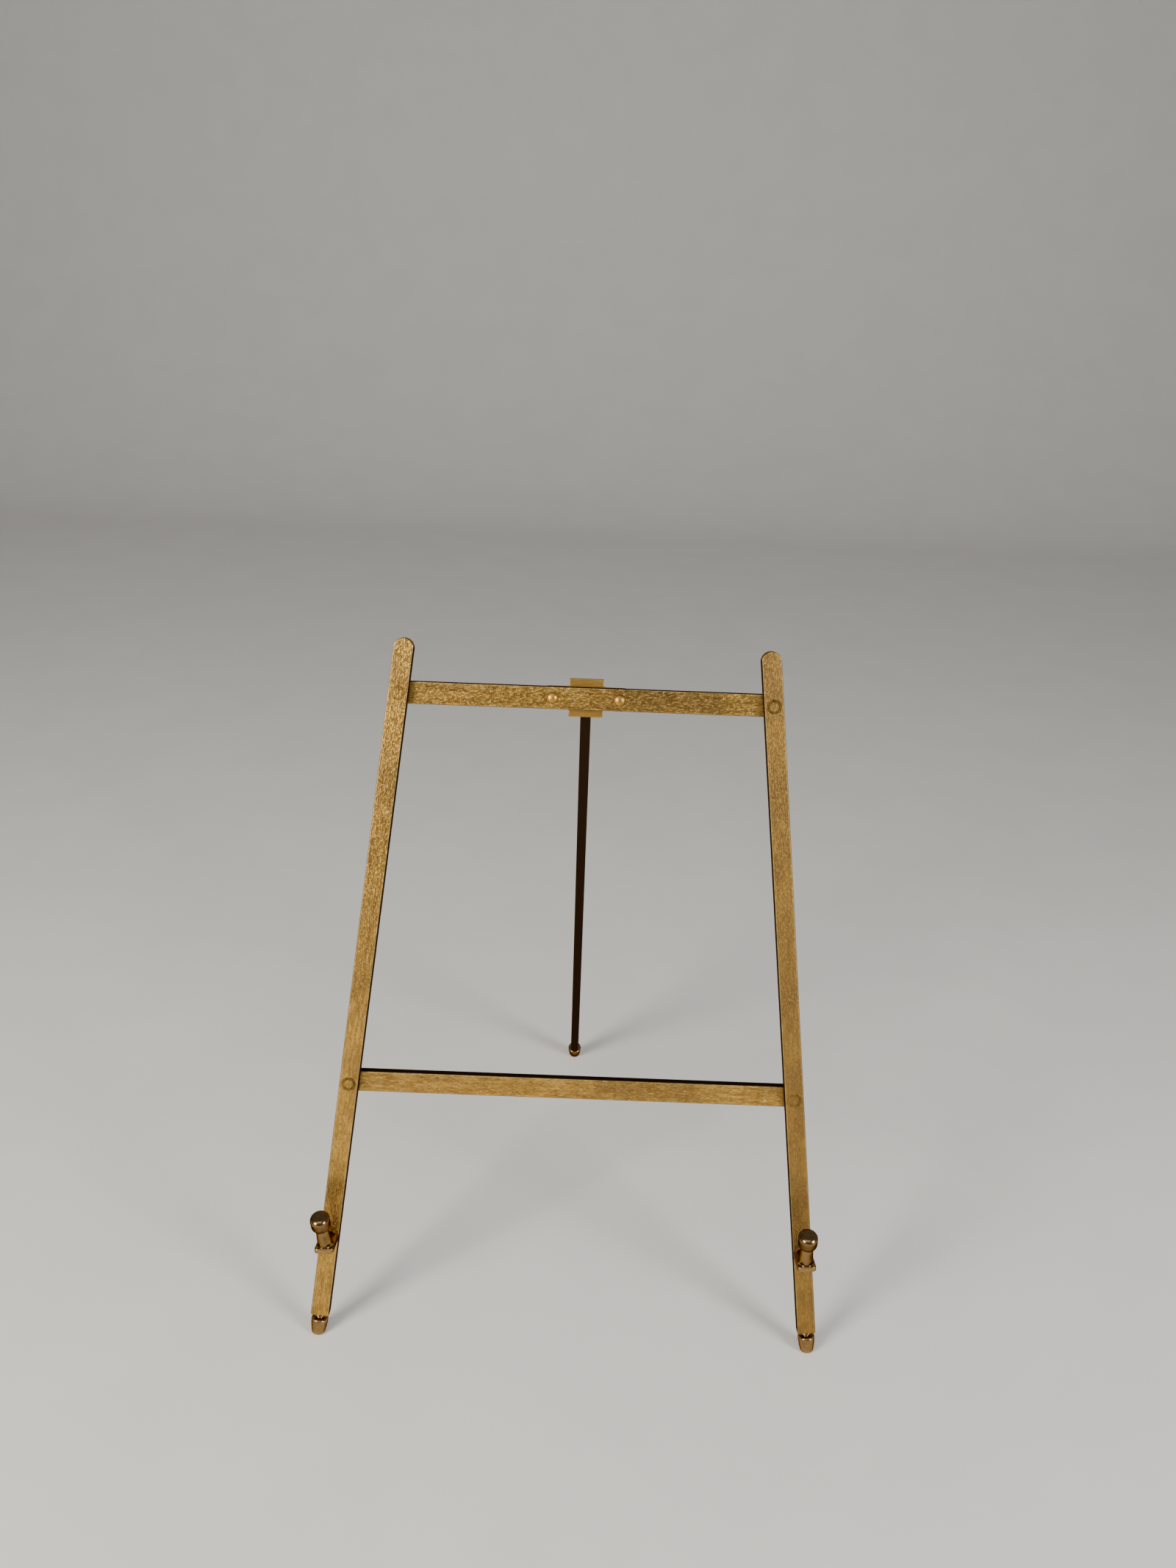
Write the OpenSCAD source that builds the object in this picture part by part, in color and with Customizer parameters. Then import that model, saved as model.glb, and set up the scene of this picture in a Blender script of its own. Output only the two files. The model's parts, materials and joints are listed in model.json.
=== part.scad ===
// Folding brass plate display stand.
// The front frame leans back on two feet, two swivelling hooks hold the plate's rim,
// and a hinged rear leg props the frame and folds flat against it.
// X is to the viewer's right, -Y is towards the viewer, and the feet stand on Z = 0.

/* [Stance] */
// Lean of the front frame back from the vertical, degrees
frame_lean = 15; // [12:1:20]
// Splay of each front leg, outwards towards its foot, degrees
leg_splay = 6.6; // [4:0.1:9]
// Distance between the two front feet, centre to centre
feet_spacing = 168; // [134:1:204]
// Length along a front leg's centre line, from the floor to its rounded top
leg_length = 240; // [198:1:290]
// Angle between the front frame and the open rear leg, degrees
open_angle = 38; // [32:1:44]

/* [Bars] */
// Width of the flat bar that the legs are cut from
bar_w = 6.2; // [5.6:0.1:7.4]
// Thickness of the front legs
leg_t = 3.4; // [2.8:0.1:4.1]
// Width of the two cross-bars
crossbar_w = 7; // [6:0.1:8.4]
// Thickness of the two cross-bars
crossbar_t = 3; // [2.5:0.1:3.6]
// Depth of the housing in the back of each leg that a cross-bar sits in
housing_depth = 0.8; // [0.4:0.1:1.2]
// Distance from the legs' top ends down to the upper cross-bar's centre line
upper_bar_drop = 17; // [14:1:24]
// Height of the lower cross-bar's centre line, measured up the frame
lower_bar_height = 92; // [76:1:112]

/* [Hooks] */
// Height of an arm's underside, measured up the leg
arm_height = 36.6; // [30:0.1:44]
// How far an arm stands out from the leg's face
arm_reach = 9.2; // [8.8:0.1:11]
// Thickness of an arm
arm_t = 1.7; // [1.4:0.1:2.1]
// Radius of an arm's two front corners
arm_corner_r = 1.2; // [0.6:0.1:1.5]
// Diameter of the shank that an arm swivels on
shank_d = 2.6; // [2.2:0.1:3.1]
// Diameter of the collar that an arm bears on the leg with
collar_d = 4.4; // [3.6:0.1:4.8]
// Thickness of that collar, let into the leg's face
collar_t = 0.8; // [0.6:0.1:1]
// Diameter of a hook's round post, under its head
post_d = 4; // [3.4:0.1:4.6]
// Diameter of the post at its foot
post_low_d = 4.8; // [4.6:0.1:5]
// Lean of the post away from the plate, degrees
post_lean = 25; // [18:1:28]
// Height of the head's middle above the arm's top face, along the post
head_height = 12; // [11:0.1:14.4]
// Diameter of the round head on a post
head_d = 6.4; // [5.8:0.1:7.2]
// Height of the head
head_h = 6; // [5.4:0.1:7]
// Radius that the head's edges are rounded to
head_edge_r = 1.9; // [1.6:0.1:2.2]
// Diameter of the tenon that fixes the post in the arm
tenon_d = 2.2; // [1.8:0.1:2.6]
// How far the left hook is turned outwards on its shank, degrees
left_hook_turn = 9; // [-20:1:20]
// How far the right hook is turned outwards on its shank, degrees
right_hook_turn = 2; // [-20:1:20]

/* [Feet] */
// Largest diameter of a turned foot
foot_d = 5.7; // [5:0.1:6.8]
// Height of a foot's barrel, along the leg
foot_h = 6.4; // [5.6:0.1:7.6]
// Diameter of the neck between a foot and its leg
neck_d = 2.4; // [2:0.1:2.9]
// Height of that neck
neck_h = 1.2; // [0.8:0.1:1.6]
// Length of the foot's tenon inside the leg
foot_tenon = 5; // [4:0.1:6]
// Radius round a foot's bottom edge
foot_edge_r = 1.1; // [0.7:0.1:1.4]

/* [Hinge] */
// Thickness of the rear leg, across the stand
rear_t = 3.4; // [2.8:0.1:4.1]
// Diameter of the hinge pin
pin_d = 2.6; // [2.2:0.1:3.1]
// Distance of the pin from the bracket's plate
pin_standoff = 5; // [4.6:0.1:5.4]
// Thickness of the bracket's plate and ears
bracket_t = 1.6; // [1.3:0.1:1.9]
// Length of the bracket's plate along the cross-bar
bracket_length = 30; // [26:1:36]
// Height of the bracket's plate
bracket_height = 12; // [11.6:0.1:14.4]
// Thickness of the washers on each side of the rear leg
washer_t = 0.5; // [0.4:0.1:0.6]
// Rise of the rear leg's heel above the pin
heel_rise = 6.4; // [5.9:0.1:6.8]

/* [Rivets] */
// Shank diameter of the rivets in the frame
rivet_d = 2.8; // [2.4:0.1:3.3]
// Diameter of their heads
rivet_head_d = 5; // [4.5:0.1:5.6]
// Height of their domed heads
rivet_dome_h = 1.4; // [1.1:0.1:1.7]
// Shank diameter of the bracket's two rivets
bracket_rivet_d = 2.2; // [1.8:0.1:2.6]

/* [Clearances] */
// Radial clearance of the moving shanks and the hinge pin
running_fit = 0.05; // [0.03:0.01:0.08]
// Gap round fixed tenons, rivets and housings
fixed_fit = 0.02; // [0.01:0.01:0.04]
// Gap between faces that slide or stop on each other
face_gap = 0.06; // [0.04:0.01:0.1]

/* [Hidden] */
$fn = 64;

LEFT = -1;
RIGHT = 1;
eps = 0.5;                                   // overshoot of a cutting tool past the face it cuts

// Front frame
leg_back = leg_t / 2;                        // the frame's own Y of the legs' back faces
leg_start = foot_h + neck_h;                 // where a leg's bottom end is, up its centre line
foot_taper = 0.5;                            // how much narrower a foot is at its bottom, at the radius
foot_shoulder = 0.5;                         // chamfer round a barrel's top
foot_low_r = foot_d / 2 - foot_taper;        // radius of a foot just above its bottom edge
foot_wear = 0.12;                            // depth of the flat that standing has worn on that edge
frame_top = leg_length * cos(leg_splay);
upper_bar_z = frame_top - upper_bar_drop;
lower_bar_z = lower_bar_height;
crossbar_front = leg_back - housing_depth;
crossbar_back = crossbar_front + crossbar_t;
rivet_sink = (rivet_head_d - rivet_d) / 2;   // depth of a 90 degree countersink
function leg_x(z) = feet_spacing / 2 - z * tan(leg_splay);

// Hooks
shank_z = arm_height + arm_t / 2;            // the shank's axis, up the leg
flare_h = 1.1;                               // height of the post's flared base
flare_out = 0.3;                             // how far that base stands out round the post
flare_d = post_low_d + 2 * flare_out;
arm_end_margin = 0.4;                        // arm left in front of the flared base
post_centre = arm_reach - flare_d / 2 - arm_end_margin;
burr_rim = 1;                                // width of a burr's ring round the shank
burr_d = shank_d + 2 * burr_rim;
burr_t = 0.9;
bore_in_leg = shank_d / 2 + running_fit;

// Hinge
plate_back = crossbar_back + bracket_t;
pin_y = plate_back + pin_standoff;
pin_z = upper_bar_z;
ear_margin = 0.4;                            // gap left between the ears' round ends and the plate
ear_r = pin_standoff - ear_margin;
ear_gap = rear_t + 2 * washer_t + 2 * face_gap;
pin_head_rim = 0.9;                          // how far a pin head stands out round the pin
pin_head_d = pin_d + 2 * pin_head_rim;
pin_head_t = 1.1;
washer_rim = 0.5;                            // how far a washer stops short of an ear's round edge
washer_d = 2 * (ear_r - washer_rim);
bracket_shoulder = 1.5;                      // plate left on each side of the ears
bracket_rivet_inset = 4.5;                   // from the plate's end to a rivet's centre
bracket_rivet_x = bracket_length / 2 - bracket_rivet_inset;
bracket_rivet_rim = 0.8;                     // how far a head stands out round its rivet
bracket_rivet_dome_h = 1;
cutter_reach = 3 * feet_spacing;             // wider than any piece, for the solids that only cut

// Height of the pin over the floor and the rear leg's angle from the vertical
rear_angle = open_angle - frame_lean;
pin_height = pin_z * cos(frame_lean) - pin_y * sin(frame_lean);
pin_behind = pin_z * sin(frame_lean) + pin_y * cos(frame_lean);
rear_length = pin_height / cos(rear_angle);

// The origin lies on the floor, under the middle of the whole stand
head_out = leg_back + post_centre + head_height * sin(post_lean);
head_up = (shank_z + arm_t / 2 + head_height * cos(post_lean)) * cos(leg_splay);
head_tilt = post_lean - frame_lean;
head_reach = (head_d / 2 - head_edge_r) * cos(head_tilt) + (head_h / 2 - head_edge_r) * sin(head_tilt) + head_edge_r;
head_front = head_out * cos(frame_lean) - head_up * sin(frame_lean) + head_reach;
foot_ring = foot_low_r - foot_edge_r;        // radius of the circle that the bottom edge is rounded about
function foot_rise(tilt) = (foot_edge_r + foot_ring * sin(tilt) - foot_wear) / cos(tilt);
rear_foot_reach = foot_ring * cos(rear_angle) + foot_edge_r - foot_rise(rear_angle) * sin(rear_angle);
rear_back = pin_behind + pin_height * tan(rear_angle) + rear_foot_reach;
front_feet_y = (head_front - rear_back) / 2;

// ---- Frames of reference ----

// The front frame: Z up its face, Y out of its back, on the line between the front feet
module on_frame() {
    translate([0, front_feet_y, 0]) rotate([-frame_lean, 0, 0]) children();
}

// One front leg: Z up its centre line from the floor, Y out of its back
module on_leg(side) {
    on_frame() translate([side * feet_spacing / 2, 0, 0]) rotate([0, -side * leg_splay, 0]) children();
}

// One hook: the shank's axis is Y, out of the leg's back, and Y = 0 is the leg's front face
module on_hook(side, turn) {
    on_leg(side) translate([0, -leg_back, shank_z]) rotate([0, side * turn, 0]) children();
}

// The rear leg: Z up its centre line, with the hinge pin's axis through the origin
module on_rear_leg() {
    on_frame() translate([0, pin_y, pin_z]) rotate([open_angle, 0, 0]) children();
}

// ---- Shapes that repeat ----

// An outline in X and Z, given its thickness from Y = y0 to Y = y1
module slab(y0, y1) {
    translate([0, y1, 0]) rotate([90, 0, 0]) linear_extrude(y1 - y0) children();
}

// A round bar along Y, from Y = y0 to Y = y1
module rod_y(d, y0, y1) {
    translate([0, y0, 0]) rotate([-90, 0, 0]) cylinder(d = d, h = y1 - y0);
}

// The half of a ball that a domed head is, base diameter d, height h, standing on Z = 0
module dome(d, h) {
    r = (d * d / 4 + h * h) / (2 * h);
    intersection() {
        translate([0, 0, h - r]) sphere(r = r);
        cylinder(d = d + eps, h = h + eps);
    }
}

// Points on an arc, for an outline
function arc_points(centre, r, from, to, steps = 8) = [
    for (i = [0:steps]) let (a = from + (to - from) * i / steps) [centre[0] + r * cos(a), centre[1] + r * sin(a)]
];

// A flat bar's outline, from a square end up to a round end
module round_ended_bar(width, z0, z1) {
    translate([-width / 2, z0]) square([width, z1 - z0 - width / 2]);
    translate([0, z1 - width / 2]) circle(d = width);
}

// A cross-bar's outline, centred on its own height, with ends as round as the legs are wide
module crossbar_outline(z, grow = 0) {
    reach = leg_x(z);
    half = crossbar_w / 2 + grow;
    translate([-reach, z - half]) square([2 * reach, 2 * half]);
    for (side = [LEFT, RIGHT]) translate([side * reach, z]) circle(r = half);
}

// Everything that a frame rivet fills: shank, countersunk front head
module frame_rivet_body(grow = 0) {
    rod_y(rivet_d + 2 * grow, -leg_back, crossbar_back);
    translate([0, -leg_back, 0]) rotate([-90, 0, 0])
        cylinder(d1 = rivet_head_d + 2 * grow, d2 = rivet_d + 2 * grow, h = rivet_sink);
}

module frame_rivet(side, z) {
    on_frame() translate([side * leg_x(z), 0, z]) {
        frame_rivet_body();
        translate([0, crossbar_back, 0]) rotate([-90, 0, 0]) dome(rivet_head_d, rivet_dome_h);
    }
}

module frame_rivet_holes() {
    on_frame() for (side = [LEFT, RIGHT]) for (z = [lower_bar_z, upper_bar_z])
        translate([side * leg_x(z), 0, z]) frame_rivet_body(fixed_fit);
}

// A turned foot, hanging below Z = 0 with its tenon above, for a leg of that tilt, before it is worn flat
module foot_turning(tilt) {
    top_r = foot_d / 2;
    bottom = foot_rise(tilt) - foot_edge_r - leg_start;
    rotate_extrude() polygon(concat(
        [[0, foot_tenon], [0, bottom]],
        arc_points([foot_ring, bottom + foot_edge_r], foot_edge_r, -90, 0),
        [[top_r, -neck_h - foot_shoulder], [top_r - foot_shoulder, -neck_h], [neck_d / 2, -neck_h], [neck_d / 2, foot_tenon]]
    ));
}

// Everything under the floor, which takes the worn flat off a leaning foot
module below_floor() {
    depth = foot_d;
    translate([0, 0, -depth / 2]) cube([cutter_reach, cutter_reach, depth], center = true);
}

// ---- Front frame ----

module front_leg(side) {
    difference() {
        on_leg(side) difference() {
            slab(-leg_back, leg_back) round_ended_bar(bar_w, leg_start, leg_length);
            translate([0, 0, leg_start - eps]) cylinder(d = neck_d + 2 * fixed_fit, h = foot_tenon + eps + fixed_fit);
            translate([0, 0, shank_z]) rod_y(2 * bore_in_leg, -leg_back - eps, leg_back + eps);
            translate([0, 0, shank_z])
                rod_y(collar_d + 2 * running_fit, -leg_back - eps, -leg_back + collar_t + face_gap);
        }
        on_frame() for (z = [lower_bar_z, upper_bar_z])
            slab(crossbar_front, crossbar_back) crossbar_outline(z, fixed_fit);
        frame_rivet_holes();
    }
}

module crossbar(z) {
    difference() {
        on_frame() slab(crossbar_front, crossbar_back) crossbar_outline(z);
        frame_rivet_holes();
    }
}

module front_foot() {
    difference() {
        on_leg(LEFT) translate([0, 0, leg_start]) foot_turning(acos(cos(frame_lean) * cos(leg_splay)));
        below_floor();
    }
}

module left_leg() { color("#b58f4c") front_leg(LEFT); }
module right_leg() { color("#b58f4c") front_leg(RIGHT); }
module lower_crossbar() { color("#a9853f") crossbar(lower_bar_z); }
module upper_crossbar() {
    color("#a9853f") difference() {
        crossbar(upper_bar_z);
        on_frame() bracket_rivet_places() rod_y(bracket_rivet_d + 2 * fixed_fit, crossbar_front - eps, crossbar_back + eps);
    }
}
module left_upper_rivet() { color("#c9a35a") frame_rivet(LEFT, upper_bar_z); }
module right_upper_rivet() { color("#c9a35a") frame_rivet(RIGHT, upper_bar_z); }
module left_lower_rivet() { color("#c9a35a") frame_rivet(LEFT, lower_bar_z); }
module right_lower_rivet() { color("#c9a35a") frame_rivet(RIGHT, lower_bar_z); }
module left_foot() { color("#9c7436") front_foot(); }
module right_foot() { color("#9c7436") mirror([1, 0, 0]) front_foot(); }

// ---- Hooks ----

// Arm, collar and shank: a flat bar with rounded front corners that swivels in the leg
module hook_arm(side, turn) {
    on_hook(side, turn) difference() {
        union() {
            translate([0, 0, -arm_t / 2]) linear_extrude(arm_t) {
                translate([-bar_w / 2, arm_corner_r - arm_reach]) square([bar_w, arm_reach - arm_corner_r - face_gap]);
                translate([arm_corner_r - bar_w / 2, -arm_reach]) square([bar_w - 2 * arm_corner_r, 2 * arm_corner_r]);
                for (x = [-1, 1]) translate([x * (bar_w / 2 - arm_corner_r), arm_corner_r - arm_reach])
                    circle(r = arm_corner_r);
            }
            rod_y(collar_d, -face_gap, collar_t);
            rod_y(shank_d, -face_gap, leg_t + face_gap + burr_t / 2);
        }
        on_post() translate([0, 0, -2 * arm_t]) cylinder(d = tenon_d + 2 * fixed_fit, h = 4 * arm_t);
    }
}

// A hook's post: Z up its leaning centre line, from the arm's top face
module on_post() {
    translate([0, -post_centre, arm_t / 2]) rotate([post_lean, 0, 0]) children();
}

// A post's turning: foot below the arm's top face, flared base, shaft, and head with rounded edges
module post_turning() {
    head_ring = head_d / 2 - head_edge_r;
    head_low = head_height - head_h / 2 + head_edge_r;
    head_high = head_height + head_h / 2 - head_edge_r;
    under = acos((post_d / 2 - head_ring) / head_edge_r);    // where the head's underside meets the shaft
    rotate_extrude() polygon(concat(
        [[0, -arm_t], [flare_d / 2, -arm_t], [flare_d / 2, 0], [post_low_d / 2, flare_h]],
        arc_points([head_ring, head_low], head_edge_r, -under, 0),
        arc_points([head_ring, head_high], head_edge_r, 0, 90),
        [[0, head_high + head_edge_r]]
    ));
}

module hook_post(side, turn) {
    on_hook(side, turn) {
        difference() {
            on_post() post_turning();
            translate([0, -post_centre, -arm_t / 2]) cube([cutter_reach, cutter_reach, 2 * arm_t], center = true);
        }
        intersection() {
            on_post() translate([0, 0, -2 * arm_t]) cylinder(d = tenon_d, h = 2 * arm_t + flare_h / 2);
            translate([0, -post_centre, 0]) cube([cutter_reach, cutter_reach, arm_t + flare_h / 2], center = true);
        }
    }
}

// The burr: a thick washer that the shank's end is peened over
module hook_burr(side, turn) {
    on_hook(side, turn) translate([0, leg_t + face_gap, 0]) difference() {
        rotate([-90, 0, 0]) cylinder(d1 = burr_d, d2 = burr_d - burr_t, h = burr_t);
        rod_y(shank_d, -eps, burr_t / 2);
    }
}

module left_hook_arm() { color("#8a6a30") hook_arm(LEFT, left_hook_turn); }
module right_hook_arm() { color("#8a6a30") hook_arm(RIGHT, right_hook_turn); }
module left_hook_post() { color("#7a5a28") hook_post(LEFT, left_hook_turn); }
module right_hook_post() { color("#7a5a28") hook_post(RIGHT, right_hook_turn); }
module left_hook_burr() { color("#c9a35a") hook_burr(LEFT, left_hook_turn); }
module right_hook_burr() { color("#c9a35a") hook_burr(RIGHT, right_hook_turn); }

// ---- Hinge and rear leg ----

module bracket_rivet_places() {
    for (x = [-1, 1]) translate([x * bracket_rivet_x, 0, pin_z]) children();
}

// A clevis: a plate with round-cornered ends, and two ears that hold the pin
module hinge_bracket() {
    wing = crossbar_w / 2;
    plate_mid = ear_gap / 2 + bracket_t + bracket_shoulder;
    color("#a9853f") on_frame() difference() {
        union() {
            slab(crossbar_back, plate_back) {
                translate([-plate_mid, pin_z - bracket_height / 2]) square([2 * plate_mid, bracket_height]);
                translate([wing - bracket_length / 2, pin_z - wing]) square([bracket_length - 2 * wing, 2 * wing]);
                for (x = [-1, 1]) translate([x * (bracket_length / 2 - wing), pin_z]) circle(r = wing);
            }
            for (x = [-1, 1]) translate([x * (ear_gap + bracket_t) / 2, pin_y, pin_z]) rotate([0, 90, 0]) {
                cylinder(r = ear_r, h = bracket_t, center = true);
                translate([-ear_r, -pin_standoff - bracket_t / 2, -bracket_t / 2])
                    cube([2 * ear_r, pin_standoff + bracket_t / 2, bracket_t]);
            }
        }
        translate([0, pin_y, pin_z]) rotate([0, 90, 0])
            cylinder(d = pin_d + 2 * fixed_fit, h = bracket_length, center = true);
        bracket_rivet_places() rod_y(bracket_rivet_d + 2 * fixed_fit, crossbar_back - eps, plate_back + eps);
    }
}

module hinge_bracket_rivets() {
    head = bracket_rivet_d + 2 * bracket_rivet_rim;
    color("#c9a35a") on_frame() bracket_rivet_places() {
        rod_y(bracket_rivet_d, crossbar_front, plate_back);
        translate([0, plate_back, 0]) rotate([-90, 0, 0]) dome(head, bracket_rivet_dome_h);
        translate([0, crossbar_front, 0]) rotate([90, 0, 0]) dome(head, bracket_rivet_dome_h);
    }
}

// The pin: a shank through both ears, with a domed head at each end
module hinge_pin() {
    half = ear_gap / 2 + bracket_t;
    color("#c9a35a") on_frame() translate([0, pin_y, pin_z]) {
        rotate([0, 90, 0]) cylinder(d = pin_d, h = 2 * half, center = true);
        for (x = [-1, 1]) translate([x * half, 0, 0]) rotate([0, x * 90, 0]) dome(pin_head_d, pin_head_t);
    }
}

module hinge_washers() {
    color("#c9a35a") on_frame() for (x = [-1, 1])
        translate([x * (ear_gap - washer_t) / 2, pin_y, pin_z]) rotate([0, 90, 0]) difference() {
            cylinder(d = washer_d, h = washer_t, center = true);
            cylinder(d = pin_d + 2 * running_fit, h = 2 * washer_t, center = true);
        }
}

// The rear leg stands on edge. Its heel is cut to lie on the bracket's plate when it is open
module rear_leg() {
    block = 4 * heel_rise;                   // everything in front of the bracket's plate
    color("#b58f4c") difference() {
        on_rear_leg() difference() {
            translate([-rear_t / 2, 0, 0]) rotate([90, 0, 90]) linear_extrude(rear_t) {
                translate([-bar_w / 2, leg_start - rear_length])
                    square([bar_w, rear_length - leg_start + heel_rise - bar_w / 2]);
                translate([0, heel_rise - bar_w / 2]) circle(d = bar_w);
            }
            rotate([0, 90, 0]) cylinder(d = pin_d + 2 * running_fit, h = 2 * rear_t, center = true);
            translate([0, 0, leg_start - rear_length - eps])
                cylinder(d = neck_d + 2 * fixed_fit, h = foot_tenon + eps + fixed_fit);
        }
        on_frame() translate([0, plate_back + face_gap - block / 2, pin_z]) cube(block, center = true);
    }
}

module rear_foot() {
    color("#9c7436") difference() {
        on_rear_leg() translate([0, 0, leg_start - rear_length]) foot_turning(rear_angle);
        below_floor();
    }
}

left_leg();
right_leg();
upper_crossbar();
lower_crossbar();
left_upper_rivet();
right_upper_rivet();
left_lower_rivet();
right_lower_rivet();
left_foot();
right_foot();
rear_foot();
left_hook_arm();
right_hook_arm();
left_hook_post();
right_hook_post();
left_hook_burr();
right_hook_burr();
hinge_bracket();
hinge_bracket_rivets();
hinge_pin();
hinge_washers();
rear_leg();
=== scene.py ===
"""The looks of a folding brass plate stand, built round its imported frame.

Every piece is made in the frame's own place and size, and rides on the body that it belongs to.
"""

import json
import math
from types import SimpleNamespace

import bmesh
import bpy
from bpy.props import FloatProperty, FloatVectorProperty, IntProperty, PointerProperty
from mathutils import Matrix, Vector


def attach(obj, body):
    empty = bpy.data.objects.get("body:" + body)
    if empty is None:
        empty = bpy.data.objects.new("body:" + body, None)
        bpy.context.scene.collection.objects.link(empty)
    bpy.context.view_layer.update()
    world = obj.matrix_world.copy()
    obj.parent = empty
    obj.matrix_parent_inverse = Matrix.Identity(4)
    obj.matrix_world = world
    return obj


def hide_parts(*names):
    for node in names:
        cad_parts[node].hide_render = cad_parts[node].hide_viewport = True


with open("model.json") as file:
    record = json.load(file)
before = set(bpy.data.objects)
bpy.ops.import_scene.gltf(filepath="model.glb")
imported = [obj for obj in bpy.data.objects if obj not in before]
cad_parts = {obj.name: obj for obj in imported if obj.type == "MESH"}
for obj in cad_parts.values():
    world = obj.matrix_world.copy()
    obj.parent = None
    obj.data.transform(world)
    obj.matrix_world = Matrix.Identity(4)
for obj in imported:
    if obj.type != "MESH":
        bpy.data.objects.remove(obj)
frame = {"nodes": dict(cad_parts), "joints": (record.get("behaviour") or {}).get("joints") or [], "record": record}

bl_info = {
    "name": "Brass Plate Stand",
    "version": (1, 0, 0),
    "blender": (4, 5, 0),
    "location": "View3D > Sidebar > Plate Stand",
    "description": "Builds the pieces and finishes of a folding brass plate stand on its frame",
    "category": "Add Mesh",
}

MM = 0.001
ON_AXIS = 1e-6  # a turned profile's radius below this is a point on its axis, in millimetres
WELD = 1e-4  # points closer than this are one point, in millimetres
CREASE = math.radians(38)  # edges that turn more than this stay sharp
FLARE_CURVE = 2.2  # how quickly the hollow at a post's foot dies away
HOOKS_MIDDLE = Vector((0.0, -0.04, 0.06))

# The lights' colours
WARM = (1.0, 0.965, 0.91)
COOL = (0.95, 0.97, 1.0)
MILD = (1.0, 0.985, 0.96)

# Colour of what the metal reflects where it is seen edge-on. Brass tints its rims a little, and these dark tints
# add a painted dark reflection there.
BAR_RIM_DARK_REFLECTION = (0.40, 0.28, 0.14, 1.0)
POLISHED_RIM_DARK_REFLECTION = (0.13, 0.085, 0.050, 1.0)
NO_TINT = (1.0, 1.0, 1.0, 1.0)

SIDES = ("left", "right")
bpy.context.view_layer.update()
JOINTS = {joint["name"]: joint for joint in frame["joints"]}
MOUNTS = {mount["name"]: mount for mount in frame["record"]["mounts"]}


# ---- Places, taken from the frame ----


def place_of(origin, out_of_back, up):
    """A piece's own frame: X across, Y out of its back, Z up its length."""
    y = Vector(out_of_back).normalized()
    z = Vector(up)
    z = (z - y * z.dot(y)).normalized()
    place = Matrix((y.cross(z), y, z)).transposed().to_4x4()
    place.translation = Vector(origin)
    return place


def leg_place(side):
    """A front leg's frame, with its origin where the hook's shank meets the front face."""
    joint = JOINTS[f"{side}_hook_turn"]
    up = Vector(MOUNTS[f"{side}_back_rest"]["pos_m"]) - Vector(joint["pos_m"])
    return place_of(joint["pos_m"], joint["axis"], up)


def hook_place(side):
    """A hook's frame: the leg's, turned as far as the hook is turned on its shank."""
    joint = JOINTS[f"{side}_hook_turn"]
    return place_of(joint["pos_m"], joint["axis"], MOUNTS[f"{side}_rim_seat"]["axis"])


def panel_place():
    """The leaning front frame's own directions, with the origin on the hinge pin."""
    back = Vector(JOINTS["left_hook_turn"]["axis"])
    return place_of(JOINTS["rear_prop_fold"]["pos_m"], back, Vector((1, 0, 0)).cross(back))


def prop_place():
    """The open rear leg's frame, with its origin on the hinge pin."""
    opened = math.radians(-JOINTS["rear_prop_fold"]["range_deg"][0])
    return panel_place() @ Matrix.Rotation(opened, 4, "X")


def extent(node, place):
    """Lowest and highest corner of a CAD node in a piece's own frame, in millimetres."""
    inward = place.inverted()
    points = [inward @ vertex.co for vertex in frame["nodes"][node].data.vertices]
    low = Vector([min(p[i] for p in points) for i in range(3)]) / MM
    high = Vector([max(p[i] for p in points) for i in range(3)]) / MM
    return low, high


# ---- Shapes, in millimetres ----

FLAT_XZ = Matrix(((1, 0, 0), (0, 0, -1), (0, 1, 0))).to_4x4()
FLAT_YZ = Matrix(((0, 0, 1), (1, 0, 0), (0, 1, 0))).to_4x4()
ALONG_X = Matrix.Rotation(math.radians(90), 4, "Y")
ALONG_Y = Matrix.Rotation(math.radians(-90), 4, "X")


def arc(centre, radius, start, end, steps=16):
    """Points on an arc, from one angle to another in degrees."""
    angles = [math.radians(start + (end - start) * i / steps) for i in range(steps + 1)]
    return [(centre[0] + radius * math.cos(a), centre[1] + radius * math.sin(a)) for a in angles]


def ring(radius, centre=(0, 0), steps=48):
    """A closed circle."""
    return arc(centre, radius, 0, 360, steps)[:-1]


def bar_outline(width, bottom, top, corner):
    """A bar with eased corners at its square end and a round end at the top."""
    half = width / 2
    points = arc((half - corner, bottom + corner), corner, -90, 0, 6)
    points += arc((0, top - half), half, 0, 180, 32)
    points += arc((corner - half, bottom + corner), corner, 180, 270, 6)
    return points


def cross_outline(reach, height, middle=0.0):
    """A bar that lies along X, with a half round at each end."""
    half = height / 2
    points = arc((reach - half, middle), half, -90, 90, 24)
    return points + arc((half - reach, middle), half, 90, 270, 24)


def keep_side(points, normal, least):
    """The part of an outline where its distance along normal is at least that much."""
    kept = []
    for a, b in zip(points, points[1:] + points[:1]):
        da = a[0] * normal[0] + a[1] * normal[1] - least
        db = b[0] * normal[0] + b[1] * normal[1] - least
        if da >= 0:
            kept.append(a)
        if da * db < 0:
            share = da / (da - db)
            kept.append((a[0] + (b[0] - a[0]) * share, a[1] + (b[1] - a[1]) * share))
    return kept


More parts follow.
